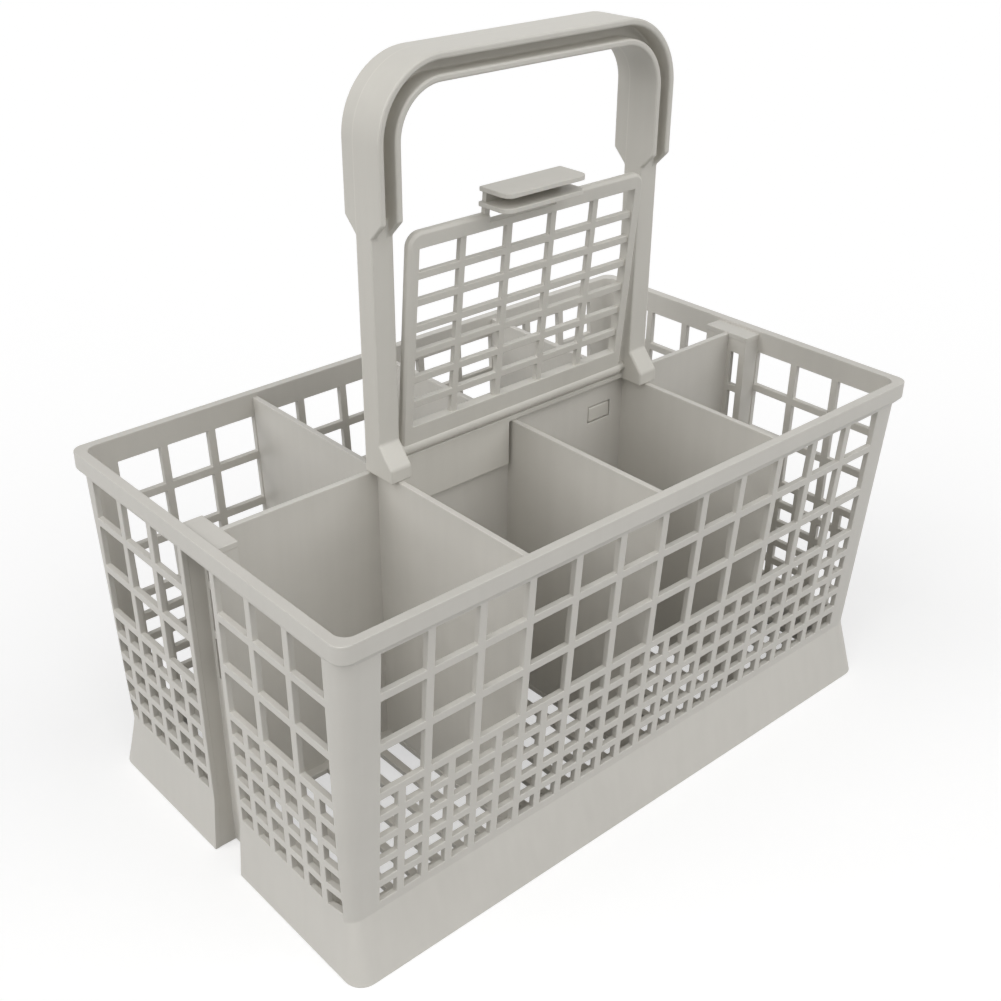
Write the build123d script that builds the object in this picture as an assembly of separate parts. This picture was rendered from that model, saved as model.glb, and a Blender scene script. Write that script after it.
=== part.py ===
"""Dishwasher cutlery basket: a moulded lattice basket, its snap-on handle and a hinged grid flap.

Millimetres, +Z up, X along the length. The origin is under the middle of the basket, on the floor.
"""
import os

from build123d import *

# Basket, overall
LENGTH = 240.0
WIDTH = 142.0
HEIGHT = 121.5
WALL = 2.0

# Rim: an upright band that stands out from the walls, with a sloping underside
RIM_LIP = 1.5
RIM_FACE = 5.6
RIM_SLOPE = 2.0
RIM_RADIUS = 4.0

# Walls lean in towards the floor, then the skirt flares out again to the foot
LONG_WALL_LEAN = 6.0
END_WALL_LEAN = 0.8
WALL_RADIUS = 6.0
SKIRT_HEIGHT = 20.5
FOOT_INSET_X = 0.7
FOOT_INSET_Y = 1.6
FOOT_RADIUS = 6.0

# Small step where the walls meet the skirt and the rim
STEP = 0.3

# Lattice: rows of large windows above rows of small holes, half as wide
FINE_PITCH = 8.95
FINE_ROW_PITCH = 8.4
LARGE_ROW_PITCH = 17.4
LARGE_ROWS = 3
BAR = 2.8
FIRST_BAR_DROP = 22.5
WINDOW_TOP_BORDER = 0.6
CORNER_POST = 9.5

# Cells: a wall along the middle and walls across, three large windows apart
DIVIDER = 2.0
DIVIDER_DROP = 1.5
WINDOWS_PER_CELL = 3

# Floor with drain slots
FLOOR = 2.0
FLOOR_SLOT_ROWS = 1
FLOOR_SLOT_BORDER = 3.0

# Upright channel in the middle of each end, open to the outside
CHANNEL_WIDTH = 14.8
CHANNEL_DEPTH = 8.5
CHANNEL_LID_DROP = 1.0
CHANNEL_WINDOW = 4.6

# Handle: an arch with posts, and a wider grip of two flanges and a web at the top
HANDLE_SPAN = 115.0
HANDLE_RISE = 120.0
HANDLE_RADIUS = 22.0
HANDLE_BAND = 7.8
POST_WIDTH = 7.2
GRIP_WIDTH = 16.8
GRIP_DEPTH = 42.9
FLANGE = 2.0
POST_FLARE = 5.5
POST_FLARE_TIP = 4.5
POST_FLARE_HEIGHT = 11.0

# Crossbar on the middle divider, and the plates that grip it, each with a snap nub
CROSSBAR_HEIGHT = 2.2
GRIP_PLATE = 2.0
GRIP_PLATE_DROP = 15.5
GRIP_PLATE_END_GAP = 1.2
DIVIDER_FIT = 0.1
NUB_LENGTH = 10.0
NUB_HEIGHT = 5.5
NUB_FROM_END = 5.0
NUB_FROM_EDGE = 2.0
NUB_FIT = 0.3

# Hinge: the flap's round bottom bar and its stub pins in the posts
HINGE_BAR_RADIUS = 2.3
HINGE_BAR_GAP = 0.4
PIN_RADIUS = 1.6
PIN_REACH = 3.5
PIN_FIT = 0.05
PIN_END_GAP = 0.5

# Grid flap, leaning a little towards the near side
FLAP_LEAN = 5.2
FLAP_SIDE_GAP = 2.4
FLAP_HEIGHT = 69.7
FLAP_FRAME = 3.2
FLAP_FRAME_CHAMFER = 0.8
FLAP_GRID = 1.8
FLAP_TOP_RADIUS = 4.5
FLAP_COLUMNS = 5
FLAP_ROWS = 7
FLAP_TOP_ROW_EXTRA = 1.4
FLAP_SIDE_BAND = 3.8
FLAP_TOP_BAND = 5.0
FLAP_BOTTOM_BAND = 7.5
FLAP_BAR = 2.4

# Finger tab on the flap: two shelves on a short wall above the top band
TAB_CENTRE = -4.5
TAB_WIDTH = 32.0
TAB_RISE = 8.1
TAB_REACH = 10.5
TAB_SHELF = 1.5
TAB_SHELF_GAP = 3.0
TAB_WALL = 1.8
TAB_WALL_INSET = 1.2
TAB_LEG = 2.0
TAB_NOTCH = 2.6
TAB_CORNER = 3.0

# Places that follow from the sizes above
RIM_UNDER = HEIGHT - RIM_FACE - RIM_SLOPE
WALL_LENGTH = LENGTH - 2 * RIM_LIP
WALL_WIDTH = WIDTH - 2 * RIM_LIP
LARGE_PITCH = 2 * FINE_PITCH
DIVIDER_TOP = HEIGHT - DIVIDER_DROP
WINDOW_TOP = RIM_UNDER - WINDOW_TOP_BORDER
CHANNEL_BACK = LENGTH / 2 - CHANNEL_DEPTH
CHANNEL_INNER = CHANNEL_BACK - WALL
HANDLE_TOP = HEIGHT + HANDLE_RISE
HANDLE_Y = (DIVIDER - POST_WIDTH) / 2
CROSSBAR_TOP = DIVIDER_TOP + CROSSBAR_HEIGHT
HINGE_Z = CROSSBAR_TOP + HINGE_BAR_GAP + HINGE_BAR_RADIUS
POST_INNER = HANDLE_SPAN / 2 - HANDLE_BAND
FLAP_HALF = POST_INNER - FLAP_SIDE_GAP
BEYOND = LENGTH + WIDTH + HEIGHT


def between(low, high):
    """Solid block from one corner to the opposite one."""
    size = Vector(*high) - Vector(*low)
    middle = (Vector(*high) + Vector(*low)) * 0.5
    return Pos(middle) * Box(size.X, size.Y, size.Z)


def spaced(start, pitch, count):
    """Places of bars, one pitch apart."""
    return [start + pitch * step for step in range(count + 1)]


def openings(across, up, bar):
    """Rectangles left open between neighbouring bars, as seen square on."""
    holes = []
    for left, right in zip(across, across[1:]):
        for low, high in zip(up, up[1:]):
            hole = Rectangle(right - left - bar, high - low - bar)
            holes.append(Pos((left + right) / 2, (low + high) / 2) * hole)
    return holes


def outline_at(z, inset):
    """Length, width and height of the walls' outline at one level, inset from their outer faces."""
    below_rim = (RIM_UNDER - z) / (RIM_UNDER - SKIRT_HEIGHT)
    length = WALL_LENGTH - 2 * (END_WALL_LEAN * below_rim + inset)
    width = WALL_WIDTH - 2 * (LONG_WALL_LEAN * below_rim + inset)
    return length, width, z


def frustum(low, high, radius):
    """Flat-sided form between two rectangular levels, with its four corner edges rounded."""
    lower, upper = [Pos(0, 0, z) * Rectangle(length, width) for length, width, z in (low, high)]
    faces = [lower.face(), upper.face()]
    for low_edge, high_edge in zip(lower.edges(), upper.edges()):
        corners = [low_edge @ 0, low_edge @ 1, high_edge @ 1, high_edge @ 0]
        faces.append(Face(Wire.make_polygon(corners)))
    form = Part() + Solid(Shell(faces))
    return fillet(form.edges().group_by(Axis.Z)[1], radius)


def wall_form(inset):
    """The leaning walls from the floor to the top of the rim, as a solid inset from their outer faces."""
    return frustum(outline_at(SKIRT_HEIGHT, inset), outline_at(HEIGHT, inset), WALL_RADIUS - inset)


def skirt_form(inset):
    """The flared skirt as a solid, a small step proud of the walls at its top."""
    foot = (LENGTH - 2 * (FOOT_INSET_X + inset), WIDTH - 2 * (FOOT_INSET_Y + inset), 0)
    return frustum(foot, outline_at(SKIRT_HEIGHT, inset - STEP), FOOT_RADIUS - inset)


def rim_form():
    """The rim as a solid slab, sloping out from a small step on the walls to its upright band."""
    under = outline_at(RIM_UNDER, -STEP)
    slope = frustum(under, (LENGTH, WIDTH, RIM_UNDER + RIM_SLOPE), RIM_RADIUS)
    band = extrude(RectangleRounded(LENGTH, WIDTH, RIM_RADIUS), RIM_FACE)
    return slope + Pos(0, 0, HEIGHT - RIM_FACE) * band


def shell():
    """Walls, rim, skirt and floor: the outer forms less the room above the floor and the one below it."""
    floor_slab = between((-LENGTH, -WIDTH, SKIRT_HEIGHT - FLOOR), (LENGTH, WIDTH, HEIGHT))
    room_below = skirt_form(WALL) - floor_slab
    return wall_form(0) + skirt_form(0) + rim_form() - wall_form(WALL) - room_below


def window_rows():
    """Heights of the bars: the large rows from the top, then the small rows down to the skirt."""
    first = HEIGHT - FIRST_BAR_DROP
    lowest_large = first - (LARGE_ROWS - 1) * LARGE_ROW_PITCH
    small_rows = int((lowest_large - SKIRT_HEIGHT - BAR / 2) // FINE_ROW_PITCH)
    large = spaced(lowest_large, LARGE_ROW_PITCH, LARGE_ROWS - 1) + [WINDOW_TOP + BAR / 2]
    small = spaced(lowest_large - small_rows * FINE_ROW_PITCH, FINE_ROW_PITCH, small_rows)
    return large, small


def lattice_columns(start, room):
    """Bars of the large windows and of the small holes, from a first bar outwards."""
    count = int(room // LARGE_PITCH)
    return spaced(start, LARGE_PITCH, count), spaced(start, FINE_PITCH, 2 * count)


def long_wall_half():
    """Number of large windows between the middle of a long wall and its corner post."""
    return int((WALL_LENGTH / 2 - CORNER_POST) // LARGE_PITCH)


def long_wall_windows():
    """Cutter for both long walls at once."""
    large_up, small_up = window_rows()
    half = long_wall_half()
    start = -half * LARGE_PITCH
    large, small = lattice_columns(start, 2 * half * LARGE_PITCH + BAR)
    sketch = Sketch() + openings(large, large_up, BAR) + openings(small, small_up, BAR)
    return extrude(Plane.XZ * sketch, BEYOND, both=True)


def end_wall_windows():
    """Cutter for both end walls at once, a panel on each side of the channel."""
    large_up, small_up = window_rows()
    start = (CHANNEL_WIDTH + WALL) / 2
    inner_face = outline_at(SKIRT_HEIGHT, WALL)[1] / 2
    large, small = lattice_columns(start, inner_face + BAR / 2 - start)
    panel = Sketch() + openings(large, large_up, BAR) + openings(small, small_up, BAR)
    both_panels = panel + mirror(panel, about=Plane.YZ)
    return extrude(Plane.YZ * both_panels, BEYOND, both=True)


def cell_walls():
    """The divider along the middle and the dividers across, trimmed to the inside of the walls."""
    low, high = SKIRT_HEIGHT - FLOOR / 2, DIVIDER_TOP
    walls = between((-CHANNEL_BACK, -DIVIDER / 2, low), (CHANNEL_BACK, DIVIDER / 2, high))
    room = wall_form(WALL / 2)
    for place in cross_places():
        sheet = between((place - DIVIDER / 2, -WIDTH, low), (place + DIVIDER / 2, WIDTH, high))
        walls += room & sheet
    return walls


def cross_places():
    """X of the dividers across, each in line with a bar of the long walls."""
    cell = WINDOWS_PER_CELL * LARGE_PITCH
    count = (long_wall_half() - 1) // WINDOWS_PER_CELL
    return [cell * step for step in range(-count, count + 1)]


def drain_slots():
    """Cutter for the floor's slots, in rows on both sides of the middle divider."""
    half = long_wall_half()
    across = spaced(-half * LARGE_PITCH, FINE_PITCH, 4 * half)
    first = DIVIDER / 2 + FLOOR_SLOT_BORDER - BAR / 2
    last = outline_at(SKIRT_HEIGHT, WALL)[1] / 2 - FLOOR_SLOT_BORDER + BAR / 2
    rows = spaced(first, (last - first) / FLOOR_SLOT_ROWS, FLOOR_SLOT_ROWS)
    slots = Sketch() + openings(across, rows, BAR)
    slots += mirror(slots, about=Plane.XZ)
    return Pos(0, 0, SKIRT_HEIGHT) * extrude(slots, 2 * FLOOR, both=True)


def end_channel():
    """Box that stands inside the +X end, from the foot to just under the rim's top."""
    side = CHANNEL_WIDTH / 2 + WALL
    lid_top = HEIGHT - CHANNEL_LID_DROP
    box = between((CHANNEL_INNER, -side, 0), (LENGTH, side, lid_top))
    return box & (wall_form(WALL / 2) + skirt_form(WALL / 2))


def channel_recess():
    """What is open in the +X channel: the way out through the end wall and a pocket behind the rim."""
    side = CHANNEL_WIDTH / 2
    way_out = between((CHANNEL_BACK, -side, -FLOOR), (LENGTH, side, WINDOW_TOP))
    pocket_top = HEIGHT - CHANNEL_LID_DROP - WALL
    pocket = between((CHANNEL_BACK, -side, 0), (WALL_LENGTH / 2 - WALL, side, pocket_top))
    return way_out + pocket


def channel_windows():
    """Cutter for the small upright windows in the channels' back walls, one each side of the divider."""
    large_up, _ = window_rows()
    outer = CHANNEL_WIDTH / 2 + BAR / 2
    column = openings([outer - CHANNEL_WINDOW - BAR, outer], large_up, BAR)
    sketch = Sketch() + column
    sketch += mirror(sketch, about=Plane.YZ)
    reach = extrude(Plane.YZ * sketch, BEYOND)
    return between((CHANNEL_INNER - WALL, -WIDTH, 0), (CHANNEL_BACK + WALL, WIDTH, HEIGHT)) & reach


def nub_place():
    """Middle of a snap nub, along X and in height."""
    plate_end = WINDOWS_PER_CELL * LARGE_PITCH - DIVIDER / 2 - GRIP_PLATE_END_GAP
    plate_low = DIVIDER_TOP - GRIP_PLATE_DROP
    return plate_end - NUB_FROM_END - NUB_LENGTH / 2, plate_low + NUB_FROM_EDGE + NUB_HEIGHT / 2


def make_basket():
    walls = shell() - long_wall_windows() - end_wall_windows() - drain_slots()
    channel = end_channel()
    inside = cell_walls() + channel + mirror(channel, about=Plane.YZ)
    recess = channel_recess() + channel_windows()
    basket = walls + inside - recess - mirror(recess, about=Plane.YZ)
    nub_x, nub_z = nub_place()
    snap_slot = Box(NUB_LENGTH + 2 * NUB_FIT, WALL + DIVIDER, NUB_HEIGHT + 2 * NUB_FIT)
    for side in (-1, 1):
        basket -= Pos(side * nub_x, 0, nub_z) * snap_slot
    return basket


def arch(inset):
    """Outline of the handle seen square on, inset from its outer face."""
    height = HANDLE_TOP - DIVIDER_TOP - inset
    upright = Pos(0, DIVIDER_TOP + height / 2) * Rectangle(HANDLE_SPAN - 2 * inset, height)
    top_corners = upright.vertices().sort_by(Axis.Y)[-2:]
    return fillet(top_corners, HANDLE_RADIUS - inset)


def grip_side():
    """The grip seen from its end: wide flanges that run down at 45 degrees into the posts."""
    shoulder = HANDLE_TOP - GRIP_DEPTH
    step = (GRIP_WIDTH - POST_WIDTH) / 2
    right = [
        (POST_WIDTH / 2, shoulder - step),
        (GRIP_WIDTH / 2, shoulder),
        (GRIP_WIDTH / 2, HANDLE_TOP),
    ]
    left = [(-y, z) for y, z in reversed(right)]
    return make_face(Polyline(*right, *left, close=True))


def post_flare():
    """Gusset on the near side of a post's foot, seen from the end."""
    near = -POST_WIDTH / 2
    return make_face(
        Polyline(
            (near, DIVIDER_TOP),
            (near - POST_FLARE, DIVIDER_TOP),
            (near - POST_FLARE, DIVIDER_TOP + POST_FLARE_TIP),
            (near, DIVIDER_TOP + POST_FLARE_HEIGHT),
            close=True,
        )
    )


def gripping_plate():
    """Plate with its snap nub, on the near side of the divider's -X half."""
    nub_x, nub_z = nub_place()
    far = -DIVIDER / 2 - DIVIDER_FIT
    low = DIVIDER_TOP - GRIP_PLATE_DROP
    end = WINDOWS_PER_CELL * LARGE_PITCH - DIVIDER / 2 - GRIP_PLATE_END_GAP
    start = DIVIDER / 2 + GRIP_PLATE_END_GAP
    plate = between((-end, far - GRIP_PLATE, low), (-start, far, CROSSBAR_TOP))
    nub = between(
        (-nub_x - NUB_LENGTH / 2, far, nub_z - NUB_HEIGHT / 2),
        (-nub_x + NUB_LENGTH / 2, DIVIDER / 2, nub_z + NUB_HEIGHT / 2),
    )
    return plate + nub


def make_handle():
    band = extrude(Plane.XZ * (arch(0) - arch(HANDLE_BAND)), POST_WIDTH / 2, both=True)
    skins = (arch(0) - arch(FLANGE)) + (arch(HANDLE_BAND - FLANGE) - arch(HANDLE_BAND))
    flanges = extrude(Plane.XZ * skins, GRIP_WIDTH / 2, both=True)
    flanges &= extrude(Plane.YZ * grip_side(), HANDLE_SPAN, both=True)
    flare = extrude(Plane.YZ * post_flare(), HANDLE_BAND)
    handle = band + flanges + Pos(POST_INNER, 0, 0) * flare + Pos(-HANDLE_SPAN / 2, 0, 0) * flare
    handle = Pos(0, HANDLE_Y, 0) * handle
    side = DIVIDER / 2 + DIVIDER_FIT + GRIP_PLATE
    handle += between((-POST_INNER, -side, DIVIDER_TOP), (POST_INNER, side, CROSSBAR_TOP))
    near_plate = gripping_plate()
    handle += near_plate + Rot(0, 0, 180) * near_plate
    hole_depth = FLAP_SIDE_GAP + PIN_REACH + PIN_END_GAP
    bore = Cylinder(PIN_RADIUS + PIN_FIT, 2 * (FLAP_HALF + hole_depth))
    return handle - Pos(0, HANDLE_Y, HINGE_Z) * Rot(0, 90, 0) * bore


def on_outline(edge):
    """Whether an edge of the flap's frame runs along its sides or over its top."""
    place = edge.center()
    if abs(place.Y) < FLAP_FRAME / 4 or place.Z < FLAP_FRAME:
        return False
    return abs(place.X) > FLAP_HALF - FLAP_SIDE_BAND / 2 or place.Z > FLAP_HEIGHT - FLAP_TOP_BAND / 2


def flap_panel():
    """Framed grid, upright, with the hinge line at the origin."""
    upright = Pos(0, FLAP_HEIGHT / 2) * Rectangle(2 * FLAP_HALF, FLAP_HEIGHT)
    outline = fillet(upright.vertices().sort_by(Axis.Y)[-2:], FLAP_TOP_RADIUS)
    field_half = FLAP_HALF - FLAP_SIDE_BAND
    field_top = FLAP_HEIGHT - FLAP_TOP_BAND
    field_height = field_top - FLAP_BOTTOM_BAND
    field = Pos(0, FLAP_BOTTOM_BAND + field_height / 2) * Rectangle(2 * field_half, field_height)
    across = spaced(-field_half - FLAP_BAR / 2, (2 * field_half + FLAP_BAR) / FLAP_COLUMNS, FLAP_COLUMNS)
    row = (field_height - FLAP_TOP_ROW_EXTRA + FLAP_BAR) / FLAP_ROWS
    up = spaced(FLAP_BOTTOM_BAND - FLAP_BAR / 2, row, FLAP_ROWS - 1) + [field_top + FLAP_BAR / 2]
    frame = extrude(Plane.XZ * (outline - field), FLAP_FRAME / 2, both=True)
    outside = [edge for edge in frame.edges() if on_outline(edge)]
    frame = chamfer(outside, FLAP_FRAME_CHAMFER)
    bars = field - (Sketch() + openings(across, up, FLAP_BAR))
    return frame + extrude(Plane.XZ * bars, FLAP_GRID / 2, both=True)


def tab_shelf(top):
    """Round-cornered shelf that reaches towards the near side, level while the flap is at rest."""
    depth = TAB_WALL + TAB_REACH
    outline = Pos(TAB_CENTRE, TAB_WALL / 2 - depth / 2) * Rectangle(TAB_WIDTH, depth)
    outline = fillet(outline.vertices().sort_by(Axis.Y)[:2], TAB_CORNER)
    return Pos(0, 0, top - TAB_SHELF) * Rot(-FLAP_LEAN, 0, 0) * extrude(outline, TAB_SHELF)


def finger_tab():
    """Two shelves, one above the other, on a wall that is a little narrower than they are."""
    top = FLAP_HEIGHT + TAB_RISE
    half = TAB_WIDTH / 2 - TAB_WALL_INSET
    wall = between(
        (TAB_CENTRE - half, -TAB_WALL / 2, FLAP_HEIGHT - TAB_NOTCH),
        (TAB_CENTRE + half, TAB_WALL / 2, top - TAB_SHELF / 2),
    )
    return wall + tab_shelf(top) + tab_shelf(top - TAB_SHELF - TAB_SHELF_GAP)


def tab_opening():
    """See-through opening under the lower shelf, between the tab's two legs."""
    under_shelves = FLAP_HEIGHT + TAB_RISE - 2 * TAB_SHELF - TAB_SHELF_GAP - TAB_WALL / 4
    half = TAB_WIDTH / 2 - TAB_WALL_INSET - TAB_LEG
    return between(
        (TAB_CENTRE - half, -FLAP_FRAME, FLAP_HEIGHT - TAB_NOTCH),
        (TAB_CENTRE + half, FLAP_FRAME, under_shelves),
    )


def make_grid_flap():
    along = Rot(0, 90, 0)
    hinge_bar = along * Cylinder(HINGE_BAR_RADIUS, 2 * FLAP_HALF)
    pins = along * Cylinder(PIN_RADIUS, 2 * (FLAP_HALF + FLAP_SIDE_GAP + PIN_REACH))
    flap = flap_panel() + finger_tab() - tab_opening() + hinge_bar + pins
    return Pos(0, HANDLE_Y, HINGE_Z) * Rot(FLAP_LEAN, 0, 0) * flap


os.makedirs("parts", exist_ok=True)
for node, solid in (
    ("basket", make_basket()),
    ("handle", make_handle()),
    ("grid_flap", make_grid_flap()),
):
    export_step(solid, f"parts/{node}.step")
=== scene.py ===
"""Dishwasher cutlery basket in grey plastic: the looks of its three mouldings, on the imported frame."""
import math

import bmesh
import bpy
from mathutils import Matrix, Vector


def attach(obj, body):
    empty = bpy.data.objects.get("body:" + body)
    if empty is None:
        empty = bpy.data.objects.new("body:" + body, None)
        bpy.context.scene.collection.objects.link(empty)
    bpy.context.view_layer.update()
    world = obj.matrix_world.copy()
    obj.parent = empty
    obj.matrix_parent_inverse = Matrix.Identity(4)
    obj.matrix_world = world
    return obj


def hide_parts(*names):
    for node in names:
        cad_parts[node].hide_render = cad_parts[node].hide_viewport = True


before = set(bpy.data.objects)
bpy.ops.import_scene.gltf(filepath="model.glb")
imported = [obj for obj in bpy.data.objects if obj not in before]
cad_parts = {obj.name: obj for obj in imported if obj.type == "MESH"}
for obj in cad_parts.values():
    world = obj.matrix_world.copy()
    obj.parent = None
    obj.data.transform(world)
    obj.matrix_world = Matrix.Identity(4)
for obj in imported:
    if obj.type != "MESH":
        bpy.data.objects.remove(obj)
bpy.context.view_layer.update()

# The basket is one injection moulding in grey polypropylene: lattice walls that lean in to a flared skirt,
# with a floor, dividers and two end channels. Its edges come out of the mould a little round, and its faces
# carry a fine eroded grain and faint flow marks.

BASKET_GREY = (208, 205, 198)
WALL = 0.002
BAR = 0.0028
FINE_PITCH = 0.00895
FLOOR_TOP = 0.0205
RIM_UNDER = 0.1139
RIM_EDGE = 0.1159
RIM_TOP = 0.1215
CORNER_STEPS = 8
MOULD_ROUNDING = 0.0003
SHARP = math.radians(14)
WELD = 1e-6

# Half length, half width and corner radius of the rim, of the walls under it and of the foot of the skirt
RIM_OUTLINE = (0.120, 0.071, 0.004)
WALL_OUTLINE = (0.1185, 0.0695, 0.006)
FOOT_OUTLINE = (0.1193, 0.0694, 0.006)

# How far the walls and the skirt lean in, along the length and across the width
WALL_LEAN = (0.0008, 0.006)
SKIRT_LEAN = (0.0016, 0.0059)

# Rows of small holes, and rows of large windows above them
SMALL_ROW_LOW = 0.0236
SMALL_ROW_PITCH = 0.0084
SMALL_ROWS = 5
LARGE_ROW_LOW = 0.0656
LARGE_ROW_PITCH = 0.0174
LARGE_ROWS = 3
WINDOW_TOP = 0.1133

# Dividers, with the openings for the handle's snap nubs
DIVIDER_TOP = 0.120
CROSS_DIVIDERS = (-0.0537, 0.0, 0.0537)
SNAP_SLOT_X = (0.0362, 0.0468)
SNAP_SLOT_Z = (0.1062, 0.1123)

# Floor: its end, and from the middle out its rib, channel side, end of slots and edge
FLOOR_END = 0.1162
FLOOR_ROWS = (0.004, 0.0084, 0.0585, 0.0625)
FLOOR_CORNER_CUT = 0.0015

# End channels
CHANNEL_HALF = 0.0074
CHANNEL_BACK = 0.1115
CHANNEL_RIB = 0.0028
CHANNEL_LID = 0.1205
LID_LIP = 0.00015

# Plastic: scale of its clouds, streaks and grain, its shade and roughness, and the ridge of a parting line
# with a painted highlight along it
CLOUD_SCALE = 34
STREAK_SCALE = (260, 260, 18)
GRAIN_SCALE = 2600
SHADE_SPREAD = 9
ROUGHNESS = 0.34
ROUGHNESS_SPREAD = 0.22
RIDGE_SHARPNESS = 3000
RIDGE_PAINTED_HIGHLIGHT = 0.5
RIDGE_RELIEF = 0.4


class Field:
    """A socket of a node tree that takes part in plain arithmetic: each operation adds its Math node."""

    def __init__(self, tree, socket=None):
        self.tree = tree
        self.socket = socket

    def node(self, kind, settings=None, sockets=None, output=0):
        """Add a node: its settings first, then the values or links of its sockets."""
        made = self.tree.nodes.new(kind)
        for name, value in (settings or {}).items():
            setattr(made, name, value)
        for name, value in (sockets or {}).items():
            for term in value if isinstance(value, list) else [value]:
                if isinstance(term, Field):
                    self.tree.links.new(term.socket, made.inputs[name])
                else:
                    made.inputs[name].default_value = term
        return Field(self.tree, made.outputs[output] if made.outputs else None)

    def beside(self, output):
        """Another output of the same node."""
        return Field(self.tree, self.socket.node.outputs[output])

    def maths(self, operation, *terms):
        return self.node("ShaderNodeMath", {"operation": operation}, dict(enumerate(terms)))

    def __add__(self, other):
        return self.maths("ADD", self, other)

    __radd__ = __add__

    def __sub__(self, other):
        return self.maths("SUBTRACT", self, other)

    def __rsub__(self, other):
        return self.maths("SUBTRACT", other, self)

    def __mul__(self, other):
        return self.maths("MULTIPLY", self, other)

    __rmul__ = __mul__

    def __mod__(self, other):
        return self.maths("MODULO", self, other)

    def __gt__(self, other):
        return self.maths("GREATER_THAN", self, other)


def linear(red, green, blue):
    """Colour as written in 0 to 255, for a shader socket."""
    steps = [value / 255 for value in (red, green, blue)]
    light = [step / 12.92 if step <= 0.04045 else ((step + 0.055) / 1.055) ** 2.4 for step in steps]
    return (*light, 1)


def grey_plastic(name, shade, parting_line=None):
    """Matte grey polypropylene with flow marks and an eroded grain, and perhaps a parting line at one Y: a
    raised ridge with a painted highlight along it.
    """
    material = bpy.data.materials.new(name)
    material.use_nodes = True
    tree = material.node_tree
    shader = tree.nodes["Principled BSDF"]
    field = Field(tree)

    def noise(vector, scale, detail, roughness):
        sockets = {"Vector": vector, "Scale": scale, "Detail": detail, "Roughness": roughness}
        return field.node("ShaderNodeTexNoise", {}, sockets)

    place = field.node("ShaderNodeTexCoord", output="Object")
    drawn_out = field.node("ShaderNodeMapping", {}, {"Vector": place, "Scale": STREAK_SCALE})
    cloud = noise(place, CLOUD_SCALE, 3, 0.55)
    streak = noise(drawn_out, 1, 2, 0.5)
    grain = noise(place, GRAIN_SCALE, 2, 0.6)
    tone = cloud * 0.6 + streak * 0.3 + grain * 0.1
    waves = cloud * 0.5 + streak * 0.12
    if parting_line is not None:
        across = field.node("ShaderNodeSeparateXYZ", {}, {"Vector": place}, output="Y")
        distance = field.maths("ABSOLUTE", across - parting_line)
        ridge_and_painted_highlight = 1 - field.maths("MINIMUM", distance * RIDGE_SHARPNESS, 1)
        # Along the parting line the colour turns paler: this is a painted highlight, while the relief added
        # below is a real ridge.
        tone = tone + ridge_and_painted_highlight * RIDGE_PAINTED_HIGHLIGHT
        waves = waves + ridge_and_painted_highlight * RIDGE_RELIEF
    darker = linear(*[value - SHADE_SPREAD for value in shade])
    paler = linear(*[value + SHADE_SPREAD for value in shade])
    colour = field.node("ShaderNodeMix", {"data_type": "RGBA"}, {0: tone, 6: darker, 7: paler}, output=2)
    tree.links.new(colour.socket, shader.inputs["Base Color"])
    tree.links.new((ROUGHNESS + tone * ROUGHNESS_SPREAD).socket, shader.inputs["Roughness"])
    relief = field.node("ShaderNodeBump", {}, {"Strength": 0.35, "Distance": 0.0002, "Height": waves})
    pitted = {"Strength": 0.2, "Distance": 0.00003, "Height": grain, "Normal": relief}
    surface = field.node("ShaderNodeBump", {}, pitted)
    tree.links.new(surface.socket, shader.inputs["Normal"])
    return material


def perforating_tree():
    """Nodes that open a sheet's windows by its strip numbers, then thicken it to the back of every point."""
    tree = bpy.data.node_groups.new("perforated_moulding", "GeometryNodeTree")
    tree.interface.new_socket("Geometry", in_out="INPUT", socket_type="NodeSocketGeometry")
    tree.interface.new_socket("Plastic", in_out="INPUT", socket_type="NodeSocketMaterial")
    tree.interface.new_socket("Weld", in_out="INPUT", socket_type="NodeSocketFloat")
    tree.interface.new_socket("Geometry", in_out="OUTPUT", socket_type="NodeSocketGeometry")
    field = Field(tree)
    sheet = field.node("NodeGroupInput")
    strip = field.node("GeometryNodeInputNamedAttribute", {"data_type": "INT"}, {"Name": "strip"})
    period = field.node("GeometryNodeInputNamedAttribute", {"data_type": "INT"}, {"Name": "period"})
    back = field.node("GeometryNodeInputNamedAttribute", {"data_type": "FLOAT_VECTOR"}, {"Name": "back"})
    opened = {"Geometry": sheet, "Selection": strip % period > 0.5}
    front = field.node("GeometryNodeDeleteGeometry", {"domain": "FACE"}, opened)
    doubled = {"Mesh": front, "Offset Scale": 0.0, "Individual": False}
    depth = field.node("GeometryNodeExtrudeMesh", {"mode": "FACES"}, doubled)
    moved = {"Geometry": depth, "Selection": depth.beside("Top"), "Position": back}
    rear = field.node("GeometryNodeSetPosition", {}, moved)
    rear = field.node("GeometryNodeFlipFaces", {}, {"Mesh": rear})
    whole = field.node("GeometryNodeJoinGeometry", {}, {"Geometry": [front, rear]})
    welded = {"Geometry": whole, "Distance": sheet.beside("Weld")}
    whole = field.node("GeometryNodeMergeByDistance", {}, welded)
    whole = field.node("GeometryNodeRealizeInstances", {}, {"Geometry": whole})
    plastic = {"Geometry": whole, "Material": sheet.beside("Plastic")}
    field.node("NodeGroupOutput", {}, {"Geometry": field.node("GeometryNodeSetMaterial", {}, plastic)})
    return tree


perforation = perforating_tree()


def rounded(piece, radius, segments=2, marked=False):
    """Round the sharp edges of a piece, or only its marked ones, and turn it into a plain mesh."""
    edge = piece.modifiers.new("edge rounding", "BEVEL")
    edge.width = radius
    edge.segments = segments
    edge.limit_method = "WEIGHT" if marked else "ANGLE"
    edge.angle_limit = SHARP
    edge.use_clamp_overlap = False
    edge.harden_normals = not marked
    if marked:
        piece.modifiers.new("shading", "WEIGHTED_NORMAL").keep_sharp = True
    graph = bpy.context.evaluated_depsgraph_get()
    piece.data = bpy.data.meshes.new_from_object(piece.evaluated_get(graph), depsgraph=graph)
    piece.modifiers.clear()
    return piece


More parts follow.
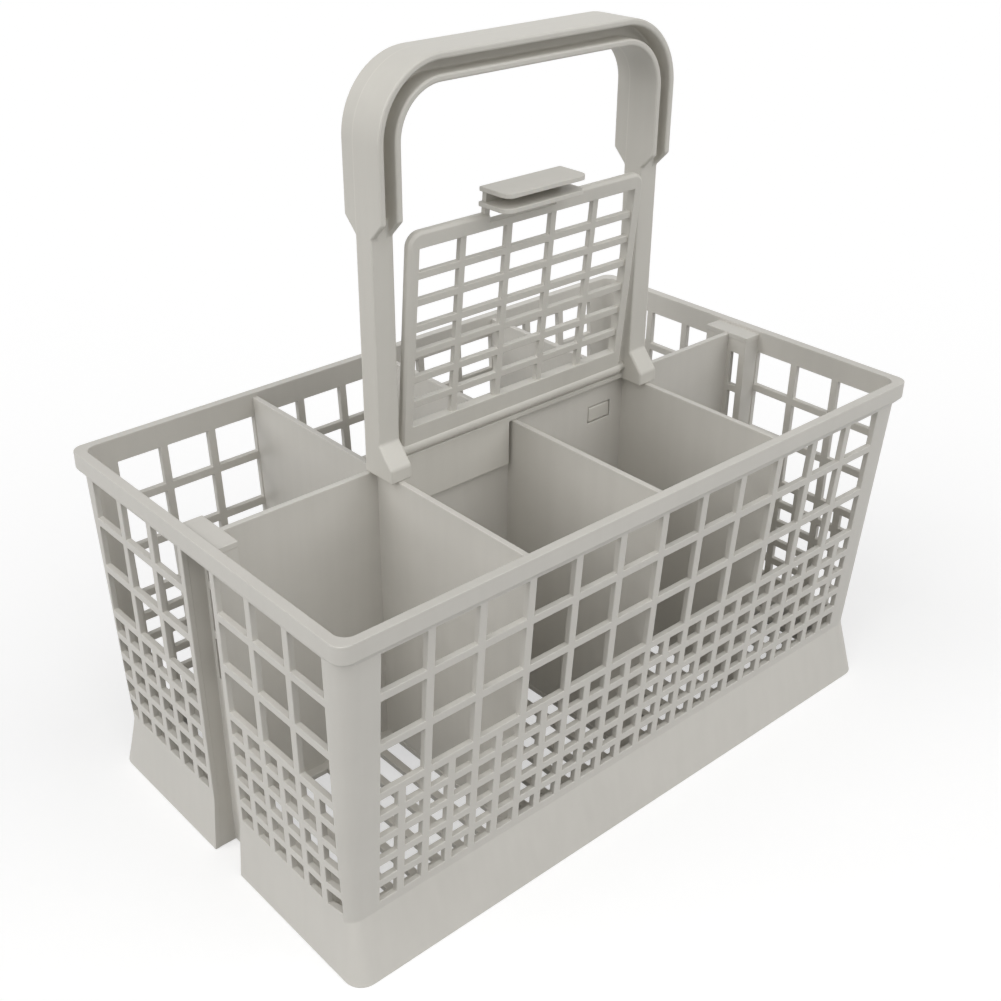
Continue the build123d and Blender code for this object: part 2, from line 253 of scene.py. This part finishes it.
class Sheets:
    """Flat patterns of a moulding: rows of front points with their back points, and numbered faces."""

    def __init__(self):
        self.shape = bmesh.new()
        self.back = self.shape.verts.layers.float_vector.new("back")
        self.strip = self.shape.faces.layers.int.new("strip")
        self.period = self.shape.faces.layers.int.new("period")

    def add(self, fronts, backs, numbers=None, closed=False):
        """Add one sheet: numbers gives a face's strip and period from its row and column."""
        grid = []
        for front_row, back_row in zip(fronts, backs):
            grid.append([self.shape.verts.new(front) for front in front_row])
            for vertex, place in zip(grid[-1], back_row):
                vertex[self.back] = place
        columns = len(grid[0])
        for row, (low, high) in enumerate(zip(grid, grid[1:])):
            for column in range(columns if closed else columns - 1):
                after = (column + 1) % columns
                face = self.shape.faces.new((low[column], low[after], high[after], high[column]))
                if numbers:
                    face[self.strip], face[self.period] = numbers(row, column)

    def moulded(self, name, plastic):
        """The finished piece: windows opened, thickness added and sharp edges rounded."""
        mesh = bpy.data.meshes.new(name)
        self.shape.to_mesh(mesh)
        self.shape.free()
        mesh.shade_smooth()
        piece = bpy.data.objects.new(name, mesh)
        bpy.context.collection.objects.link(piece)
        opening = piece.modifiers.new("windows", "NODES")
        opening.node_group = perforation
        opening[perforation.interface.items_tree["Plastic"].identifier] = plastic
        opening[perforation.interface.items_tree["Weld"].identifier] = WELD
        return rounded(piece, MOULD_ROUNDING)


def row_levels(low, pitch, count):
    """Lower and upper edges of openings in rows that stand one pitch apart."""
    return [low + pitch * row + rise for row in range(count) for rise in (0, pitch - BAR)]


small_levels = row_levels(SMALL_ROW_LOW, SMALL_ROW_PITCH, SMALL_ROWS)
large_levels = row_levels(LARGE_ROW_LOW, LARGE_ROW_PITCH, LARGE_ROWS)[:-1] + [WINDOW_TOP]

# Heights of the wall's rows, each with the number of strips from one window to the next: none, two or four
wall_rows = [(z, 0) for z in (0.0, FLOOR_TOP)]
wall_rows += [(z, 0 if step % 2 else 2) for step, z in enumerate(small_levels)]
wall_rows += [(z, 0 if step % 2 else 4) for step, z in enumerate(large_levels)]
wall_rows += [(z, 0) for z in (RIM_UNDER, RIM_EDGE, RIM_TOP)]


def bar_edges(first, count):
    """Edges of the holes between bars that stand one fine pitch apart."""
    bars = [first + FINE_PITCH * step for step in range(count + 1)]
    return [edge for left, right in zip(bars, bars[1:]) for edge in (left + BAR / 2, right - BAR / 2)]


long_edges = bar_edges(-12 * FINE_PITCH, 24)
end_edges = bar_edges(CHANNEL_HALF + WALL / 2, 6)


def wall_size(z, inset):
    """Half length, half width and corner radius of the basket at one height, inset from its outer face."""
    if z < FLOOR_TOP:
        outline, lean, share = FOOT_OUTLINE, SKIRT_LEAN, z / FLOOR_TOP
    else:
        outline, lean, share = WALL_OUTLINE, WALL_LEAN, (RIM_UNDER - z) / (RIM_UNDER - FLOOR_TOP)
    half_length, half_width, radius = outline
    return half_length - lean[0] * share - inset, half_width - lean[1] * share - inset, radius - inset


def end_face(y, half_length, half_width, radius):
    """How far out the end wall is at a place across it, round the corner too."""
    past = max(abs(y) - (half_width - radius), 0)
    return half_length - radius + math.sqrt(radius**2 - past**2)


def ring(z, half_length, half_width, radius):
    """Points round the basket at one height, with one for every edge of a bar and an arc at each corner."""
    turned = max(end_edges[-1] + BAR / 8 - (half_width - radius), 0)
    stop = math.asin(turned / radius)
    corner = []
    for step in range(CORNER_STEPS + 1):
        angle = math.pi / 2 + (stop - math.pi / 2) * step / CORNER_STEPS
        x = half_length - radius + radius * math.cos(angle)
        y = half_width - radius + radius * math.sin(angle)
        corner.append((x, y))
    across = [-y for y in reversed(end_edges)] + [-CHANNEL_HALF, CHANNEL_HALF] + end_edges
    end = [(end_face(y, half_length, half_width, radius), y) for y in across]
    near = [(x, -half_width) for x in long_edges] + [(x, -y) for x, y in corner] + end
    near += [(x, y) for x, y in reversed(corner)]
    return [(x, y, z) for x, y in near + [(-x, -y) for x, y in near]]


def wall_numbers(row, column):
    """Strip and period of a face of the wall: lattice on the long sides and ends, and the open channels."""
    low, period = wall_rows[row]
    corner = CORNER_STEPS + 1
    column %= len(long_edges) + 2 * corner + 2 * len(end_edges) + 2
    if column < len(long_edges) - 1:
        return column + 1, period
    column -= len(long_edges) + corner
    if column == len(end_edges) and low < WINDOW_TOP:
        return 1, 2
    if 0 <= column < len(end_edges) - 1:
        return len(end_edges) - 1 - column, period
    column -= len(end_edges) + 2
    if 0 <= column < len(end_edges) - 1:
        return column + 1, period
    return 0, 0


basket_sheets = Sheets()

outside, inside = [], []
for height, _ in wall_rows:
    outline = RIM_OUTLINE if height > RIM_UNDER else wall_size(height, 0)
    outside.append(ring(height, *outline))
    inside.append(ring(height, *wall_size(height, WALL)))
basket_sheets.add(outside, inside, wall_numbers, closed=True)

# Divider along the middle, with two openings for the handle's snap nubs
divider_end = CHANNEL_BACK - WALL / 2
divider_half = [*SNAP_SLOT_X, divider_end]
divider_edges = [-x for x in reversed(divider_half)] + divider_half
divider_levels = [FLOOR_TOP - WALL / 2, *SNAP_SLOT_Z, DIVIDER_TOP]
faces = [[[(x, y, z) for x in divider_edges] for z in divider_levels] for y in (-WALL / 2, WALL / 2)]
basket_sheets.add(*faces, lambda row, column: (int(row == 1 and column in (1, 3)), 2))

# Dividers across, as wide as the leaning walls leave room for
for x in CROSS_DIVIDERS:
    faces = []
    for side in (WALL / 2, -WALL / 2):
        reach = [(z, wall_size(z, WALL / 2)[1]) for z in (divider_levels[0], DIVIDER_TOP)]
        faces.append([[(x + side, -y, z), (x + side, y, z)] for z, y in reach])
    basket_sheets.add(*faces)

# Floor with a row of drain slots on each side of the divider, open at the channels
floor_x = [-FLOOR_END, -divider_end] + long_edges + [divider_end, FLOOR_END]
floor_y = [-y for y in reversed(FLOOR_ROWS)] + list(FLOOR_ROWS)


def floor_points(z):
    """Points of the floor at one height, with its corners drawn in to the round corners of the walls."""
    points = [[(x, y, z) for x in floor_x] for y in floor_y]
    for row in (0, -1):
        for column in (0, -1):
            x, y, _ = points[row][column]
            drawn_in = [place - math.copysign(FLOOR_CORNER_CUT, place) for place in (x, y)]
            points[row][column] = (*drawn_in, z)
    return points


def floor_numbers(row, column):
    """Strip and period of a face of the floor: the ends are open at the channels, and the rest is slotted."""
    if column in (0, len(floor_x) - 2):
        return int(row in (2, 3, 4)), 2
    slotted = row in (1, 2, 4, 5) and 1 < column < len(floor_x) - 3
    return column - 1, 2 if slotted else 0


basket_sheets.add(floor_points(FLOOR_TOP), floor_points(FLOOR_TOP - WALL), floor_numbers)

# Upright channel in each end: a folded wall with small windows in its back, under a lid a hair wider than it
channel_side = CHANNEL_HALF + WALL
window_side = CHANNEL_HALF - WALL / 2
fold_levels = [0.0, FLOOR_TOP] + large_levels + [CHANNEL_LID - WALL / 2]
for end in (-1, 1):
    faces = []
    for back, side in ((CHANNEL_BACK - WALL, channel_side), (CHANNEL_BACK, CHANNEL_HALF + LID_LIP)):
        rows = []
        for z in fold_levels:
            mouth = wall_size(z, WALL / 2)[0]
            fold = [(mouth, side), (back, side), (back, window_side), (back, CHANNEL_RIB)]
            fold += [(x, -y) for x, y in reversed(fold)]
            rows.append([(end * x, end * y, z) for x, y in fold])
        faces.append(rows)
    basket_sheets.add(*faces, lambda row, column: (int(row in (2, 4, 6) and column in (2, 4)), 2))
    edges = sorted((end * (CHANNEL_BACK - WALL - LID_LIP), end * wall_size(CHANNEL_LID, WALL / 2)[0]))
    sides = (-channel_side - LID_LIP, channel_side + LID_LIP)
    faces = [[[(x, y, z) for x in edges] for y in sides] for z in (CHANNEL_LID, CHANNEL_LID - WALL)]
    basket_sheets.add(*faces)

basket = basket_sheets.moulded("lattice_basket", grey_plastic("basket_plastic", BASKET_GREY))
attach(basket, "basket")
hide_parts("basket")

# The handle is a second moulding in the same plastic, an arch whose grip has a deep groove on both sides.
# It is snapped over the middle divider, and a parting line of the mould runs round the outside of the grip,
# as a fine ridge with a painted highlight along it.

HANDLE_GREY = (209, 206, 198)
HANDLE_ROUNDING = 0.0006
HANDLE_ROUNDING_STEPS = 3
GROOVE_FOOT = 0.1986
GROOVE_FACES = (-0.0062, 0.0010)
GROOVE_EXTRA = 0.0016
PARTING_LINE = 0.0004
FLAT = math.radians(0.5)
ON_FACE = 1e-5

arch = bmesh.new()
arch.from_mesh(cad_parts["handle"].data)
bmesh.ops.remove_doubles(arch, verts=arch.verts, dist=WELD)
bmesh.ops.dissolve_limit(arch, angle_limit=FLAT, verts=arch.verts, edges=arch.edges)


def web_faces(level, lowest):
    """Faces on one side of the web between the flanges, from a lowest height up."""
    found = []
    for face in arch.faces:
        if all(abs(point.co.y - level) < ON_FACE and point.co.z > lowest - ON_FACE for point in face.verts):
            found.append(face)
    return found


# The web is thinner than a post, so the grooves go deeper from the shoulders up
for level, inward in zip(GROOVE_FACES, (1, -1)):
    web = web_faces(level, 0)
    around = dict.fromkeys(part for face in web for part in (*face.edges, *face.verts))
    cut = web + list(around)
    bmesh.ops.bisect_plane(arch, geom=cut, plane_co=(0, 0, GROOVE_FOOT), plane_no=(0, 0, 1))
    web = web_faces(level, GROOVE_FOOT)
    sunk = bmesh.ops.extrude_face_region(arch, geom=web)["geom"]
    bmesh.ops.delete(arch, geom=web, context="FACES_ONLY")
    points = [item for item in sunk if isinstance(item, bmesh.types.BMVert)]
    bmesh.ops.translate(arch, verts=points, vec=(0, inward * GROOVE_EXTRA, 0))
bmesh.ops.recalc_face_normals(arch, faces=arch.faces)

# Sharp edges are marked to be rounded, apart from the fine facets of the pin holes
rounding = arch.edges.layers.float.new("bevel_weight_edge")
for edge in arch.edges:
    if edge.calc_face_angle() > SHARP:
        edge[rounding] = float(edge.calc_length() > HANDLE_ROUNDING)
        edge.smooth = False
for face in arch.faces:
    face.smooth = True
arch_mesh = bpy.data.meshes.new("carrying_handle")
arch.to_mesh(arch_mesh)
arch.free()
handle = bpy.data.objects.new("carrying_handle", arch_mesh)
bpy.context.collection.objects.link(handle)
rounded(handle, HANDLE_ROUNDING, HANDLE_ROUNDING_STEPS, marked=True)
handle.data.materials.clear()
handle.data.materials.append(grey_plastic("handle_plastic", HANDLE_GREY, PARTING_LINE))
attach(handle, "basket")
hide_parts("handle")

# The grid flap is a third moulding: a framed grid that turns on two stub pins in the handle's posts.
# It leans a little towards the near side, and is lifted by a finger tab of two level shelves.

FLAP_GREY = (208, 205, 197)
HINGE_Y = -0.0026
HINGE_Z = 0.1249
LEAN = math.radians(5.2)
FLAP_HALF = 0.0473
FLAP_TOP = 0.0697
FLAP_CORNER = 0.0045
FRAME_HALF = 0.0016
FRAME_CHAMFER = 0.0008

# Grid in its field, with ends that are tucked into the frame
FIELD_HALF = 0.0435
FIELD_LOW = 0.0075
FIELD_TOP = 0.0647
GRID_COLUMNS = 5
GRID_ROWS = 7
GRID_BAR = 0.0024
GRID_HALF = 0.0009
GRID_TUCK = 0.0003
GRID_REACH = 0.0022
TOP_ROW_EXTRA = 0.0014

# Hinge bar and pins: where they end, and their radius
HINGE_BAR_END = 0.0471
HINGE_BAR = 0.0023
PIN_END = 0.0532
PIN = 0.0016
BAR_SIDES = 32

# Finger tab
TAB_CENTRE = -0.0045
TAB_RISE = 0.0081
TAB_WALL_HALF = 0.0148
TAB_LEG = 0.002
TAB_NOTCH = 0.0026
SHELF = 0.0015
SHELF_GAP = 0.003
SHELF_HALF = 0.016
SHELF_FRONT = -0.0114
SHELF_CORNER = 0.003
SHELF_CORNER_TURNS = (90, 60, 30, 0)

# Rings of the frame round its top corners, from the outline in to the corner's centre
RING_DEPTHS = (0, FRAME_CHAMFER, TAB_NOTCH, FLAP_HALF - FIELD_HALF, FLAP_CORNER)
NOTCH_RING = 2
FIELD_RING = 3
CENTRE_RING = 4

rings = [FLAP_CORNER - depth for depth in RING_DEPTHS]
centre_x = FLAP_HALF - FLAP_CORNER
centre_z = FLAP_TOP - FLAP_CORNER
leg_inside = TAB_WALL_HALF - TAB_LEG
tab_top = FLAP_TOP + TAB_RISE


def leaning(x, y, z):
    """Place in the basket of a point of the flap."""
    away = y * math.cos(LEAN) - z * math.sin(LEAN)
    up = y * math.sin(LEAN) + z * math.cos(LEAN)
    return x, HINGE_Y + away, HINGE_Z + up


def frame_point(x, column_ring, z, row_ring, side):
    """Point on one side of the frame: a row and a column that both reach a corner meet on its ring."""
    ring, other = sorted((column_ring, row_ring))
    if other < CENTRE_RING:
        turn = math.pi / 4 * (CENTRE_RING - other) / (CENTRE_RING - ring)
        turn = turn if column_ring <= row_ring else math.pi / 2 - turn
        x = math.copysign(centre_x + rings[ring] * math.cos(turn), x)
        z = centre_z + rings[ring] * math.sin(turn)
    return leaning(x, side * (FRAME_HALF if ring else FRAME_HALF - FRAME_CHAMFER), z)


def frame_numbers(row, column):
    """The field of the grid is open, and so is the notch between the legs of the tab."""
    low, ring = frame_up[row]
    field = low == FIELD_LOW and FIELD_RING <= column < len(frame_across) - 1 - FIELD_RING
    notch = ring <= NOTCH_RING and column == len(rings)
    return int(field or notch), 2


flap_sheets = Sheets()

# Frame: every row and column has a place and the ring that it reaches in a corner
frame_side = [(centre_x + reach, ring) for ring, reach in enumerate(rings)]
frame_across = [(-x, ring) for x, ring in frame_side]
frame_across += [(TAB_CENTRE + side * (leg_inside + GRID_TUCK), CENTRE_RING) for side in (-1, 1)]
frame_across += reversed(frame_side)
frame_up = [(z, CENTRE_RING) for z in (0, FIELD_LOW, FIELD_TOP)]
frame_up += reversed([(centre_z + reach, ring) for ring, reach in enumerate(rings)])
faces = []
for side in (-1, 1):
    faces.append([[frame_point(*column, *row, side) for column in frame_across] for row in frame_up])
flap_sheets.add(*faces, frame_numbers)


def flap_sheet(across, up, numbers):
    """Flat sheet in the flap's plane, as thick as the bars of the grid."""
    faces = [[[leaning(x, side, z) for x in across] for z in up] for side in (-GRID_HALF, GRID_HALF)]
    flap_sheets.add(*faces, numbers)


def grid_edges(low, high, count):
    """Edges of the openings between bars across the field, and at each end a place inside the frame."""
    pitch = (high - low + GRID_BAR) / count
    inner = [low + pitch * step + side for step in range(count) for side in (0, pitch - GRID_BAR)]
    inner[0] -= GRID_TUCK
    inner[-1] += GRID_TUCK
    return [low - GRID_REACH] + inner + [high + GRID_REACH]


grid_across = grid_edges(-FIELD_HALF, FIELD_HALF, GRID_COLUMNS)
grid_up = grid_edges(FIELD_LOW, FIELD_TOP - TOP_ROW_EXTRA, GRID_ROWS)
grid_up[-2:] = [z + TOP_ROW_EXTRA for z in grid_up[-2:]]
flap_sheet(grid_across, grid_up, lambda row, column: (column, 2 if row % 2 else 0))

# Finger tab: a wall on two legs, with a round-cornered shelf at its top and another one below
tab_across = [TAB_CENTRE + x for x in (-TAB_WALL_HALF, -leg_inside, leg_inside, TAB_WALL_HALF)]
leg_foot = FLAP_TOP - TAB_NOTCH - FRAME_CHAMFER
leg_top = tab_top - 2 * SHELF - SHELF_GAP - GRID_HALF / 2
tab_up = [leg_foot, leg_top, tab_top - SHELF / 2]
flap_sheet(tab_across, tab_up, lambda row, column: (int(row == 0 and column == 1), 2))
shelf_rows = []
for turn in map(math.radians, SHELF_CORNER_TURNS):
    front = SHELF_FRONT + SHELF_CORNER * (1 - math.sin(turn))
    shelf_rows.append((front, SHELF_HALF - SHELF_CORNER * (1 - math.cos(turn))))
shelf_rows.append((GRID_HALF, SHELF_HALF))
for shelf_top in (tab_top, tab_top - SHELF - SHELF_GAP):
    _, base_y, base_z = leaning(0, 0, shelf_top - SHELF)
    faces = []
    for z in (base_z + SHELF, base_z):
        rows = [[(TAB_CENTRE + side * half, base_y + y, z) for side in (-1, 1)] for y, half in shelf_rows]
        faces.append(rows)
    flap_sheets.add(*faces)

flap = flap_sheets.moulded("hinged_grid_flap", grey_plastic("flap_plastic", FLAP_GREY))

# Round bottom bar, with its pins through it as one longer and thinner bar
hinge = bmesh.new()
hinge.from_mesh(flap.data)
plastic_slot = max(face.material_index for face in hinge.faces)
hinge_line = Matrix.Translation((0, HINGE_Y, HINGE_Z)) @ Matrix.Rotation(math.pi / 2, 4, "Y")
for end, radius in ((HINGE_BAR_END, HINGE_BAR), (PIN_END, PIN)):
    size = {"radius1": radius, "radius2": radius, "depth": 2 * end}
    bar = bmesh.ops.create_cone(hinge, cap_ends=True, segments=BAR_SIDES, matrix=hinge_line, **size)
    for face in {face for point in bar["verts"] for face in point.link_faces}:
        face.material_index = plastic_slot
        face.smooth = len(face.verts) == 4
        for edge in face.edges:
            edge.smooth = face.smooth and edge.smooth
hinge.to_mesh(flap.data)
hinge.free()
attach(flap, "flap")
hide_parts("grid_flap")

# Floor of a photo studio: plain white paper, laid flat under the basket.
# It shows white to the camera and keeps a soft shadow.

FLOOR_HALF = 6.0
PAPER_SHADE = 0.56
PAPER_GLOW = 0.535

paper = bmesh.new()
bmesh.ops.create_grid(paper, x_segments=1, y_segments=1, size=FLOOR_HALF)
paper_mesh = bpy.data.meshes.new("studio_floor")
paper.to_mesh(paper_mesh)
paper.free()
studio_floor = bpy.data.objects.new("studio_floor", paper_mesh)
bpy.context.collection.objects.link(studio_floor)
white_paper = bpy.data.materials.new("white_paper")
white_paper.use_nodes = True
paper_tree = white_paper.node_tree
paper_shader = paper_tree.nodes["Principled BSDF"]
paper_shader.inputs["Base Color"].default_value = (PAPER_SHADE, PAPER_SHADE, PAPER_SHADE, 1)
paper_shader.inputs["Roughness"].default_value = 0.9
paper_shader.inputs["Specular IOR Level"].default_value = 0.0
paper_shader.inputs["Emission Color"].default_value = (1, 1, 1, 1)


def shown_white(tree):
    """1 for a ray that looks at the studio or mirrors it, and 0 for light that falls on the object."""
    path = Field(tree).node("ShaderNodeLightPath", output="Is Camera Ray")
    return path + path.beside("Is Glossy Ray") + path.beside("Is Transmission Ray")


paper_glow = shown_white(paper_tree) * PAPER_GLOW
paper_tree.links.new(paper_glow.socket, paper_shader.inputs["Emission Strength"])
paper_mesh.materials.append(white_paper)

# Studio light: a broad soft lamp to the left, a second one in front, and a dim pale surround.

SURROUND_LIGHT = 0.18

surround = bpy.data.worlds.new("studio_surround")
bpy.context.scene.world = surround
surround.use_nodes = True
surround_shader = surround.node_tree.nodes["Background"]
surround_shader.inputs["Color"].default_value = (1, 1, 1, 1)
surround_strength = SURROUND_LIGHT + shown_white(surround.node_tree) * (1 - SURROUND_LIGHT)
surround.node_tree.links.new(surround_strength.socket, surround_shader.inputs["Strength"])


def broad_lamp(name, direction, share, spread):
    """Lamp so broad that its shadows are soft; share is how much of a plain level of light it gives."""
    lamp = bpy.data.lights.new(name, "SUN")
    lamp.energy = math.pi * share
    lamp.angle = math.radians(spread)
    lamp_object = bpy.data.objects.new(name, lamp)
    lamp_object.rotation_euler = Vector(direction).to_track_quat("Z", "Y").to_euler()
    bpy.context.collection.objects.link(lamp_object)


broad_lamp("left_lamp", direction=(-0.80, 0.10, 0.60), share=0.55, spread=60)
broad_lamp("front_lamp", direction=(0.25, -0.69, 0.67), share=0.48, spread=70)

# Camera at the photograph's place, above the near left corner.

AZIMUTH = math.radians(-40.37)
ELEVATION = math.radians(29.33)
ROLL = math.radians(-0.34)
EYE_RIGHT = -0.01604
EYE_UP = 0.07769
EYE_BACK = 0.49977

level_back = Vector((math.sin(AZIMUTH), -math.cos(AZIMUTH), 0))
level_right = Vector((math.cos(AZIMUTH), math.sin(AZIMUTH), 0))
backward = level_back * math.cos(ELEVATION) + Vector((0, 0, math.sin(ELEVATION)))
level_up = backward.cross(level_right)
right = level_right * math.cos(ROLL) + level_up * math.sin(ROLL)
up = level_up * math.cos(ROLL) - level_right * math.sin(ROLL)
eye = right * EYE_RIGHT + up * EYE_UP + backward * EYE_BACK

lens = bpy.data.cameras.new("photo_camera")
lens.sensor_width = 36
lens.lens = 48.62
lens.shift_x = 0.0391
lens.shift_y = -0.0009
lens.clip_start = 0.01
camera = bpy.data.objects.new("photo_camera", lens)
camera.matrix_world = Matrix.Translation(eye) @ Matrix((right, up, backward)).transposed().to_4x4()
bpy.context.collection.objects.link(camera)
bpy.context.scene.camera = camera
bpy.context.scene.view_settings.view_transform = "Standard"
